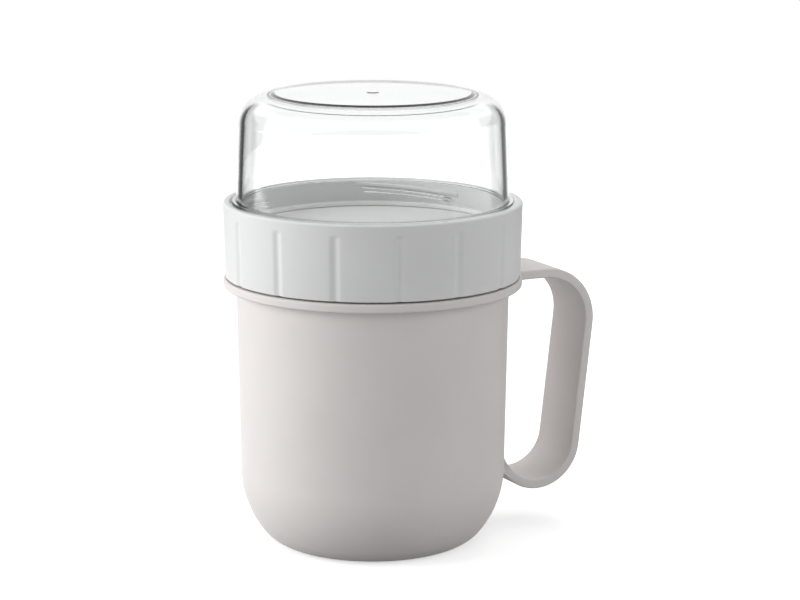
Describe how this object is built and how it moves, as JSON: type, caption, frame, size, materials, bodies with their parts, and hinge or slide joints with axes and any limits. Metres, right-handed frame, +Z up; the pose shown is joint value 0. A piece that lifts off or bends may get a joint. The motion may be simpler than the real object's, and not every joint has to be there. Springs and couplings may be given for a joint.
{
  "type": "soup mug",
  "caption": "Soup mug to take along: off-white mug with a strap handle, grooved white screw ring with a floor, and a clear upper cup screwed in mouth down.",
  "frame": {"origin": "on the mug's axis, in the plane that its foot rests on", "axes": "+Z up along the mug's axis, +X toward the handle, whose strap is symmetric about the XZ plane"},
  "size_m": [0.1401, 0.1086, 0.1664],
  "materials": {
    "mug_plastic": "fine matte, warm off-white",
    "ring_plastic": "satin, cool white",
    "clear_plastic": "clear and polished",
    "seal_rubber": "soft, translucent white"
  },
  "bodies": {
    "mug": {"mug_body": "mug_plastic"},
    "lower_seal": {"lower_seal": "seal_rubber"},
    "ring": {"screw_ring": "ring_plastic"},
    "upper_seal": {"upper_seal": "seal_rubber"},
    "cup": {"clear_cup": "clear_plastic"}
  },
  "joints": [
    {"name": "ring_lift", "type": "slide", "parent": "mug", "child": "lower_seal", "axis": [0, 0, 1], "range_m": [0, 0.018]},
    {"name": "ring_turn", "type": "hinge", "parent": "lower_seal", "child": "ring", "pos_m": [0, 0, 0.1], "axis": [0, 0, 1], "range_deg": [0, 324]},
    {"name": "cup_lift", "type": "slide", "parent": "ring", "child": "upper_seal", "axis": [0, 0, 1], "range_m": [0, 0.012]},
    {"name": "cup_turn", "type": "hinge", "parent": "upper_seal", "child": "cup", "pos_m": [0, 0, 0.12], "axis": [0, 0, 1], "range_deg": [0, 216]}
  ],
  "couplings": [
    {"joint": "ring_lift", "follows": "ring_turn", "m_per_rad": 0.003183},
    {"joint": "cup_lift", "follows": "cup_turn", "m_per_rad": 0.003183}
  ]
}
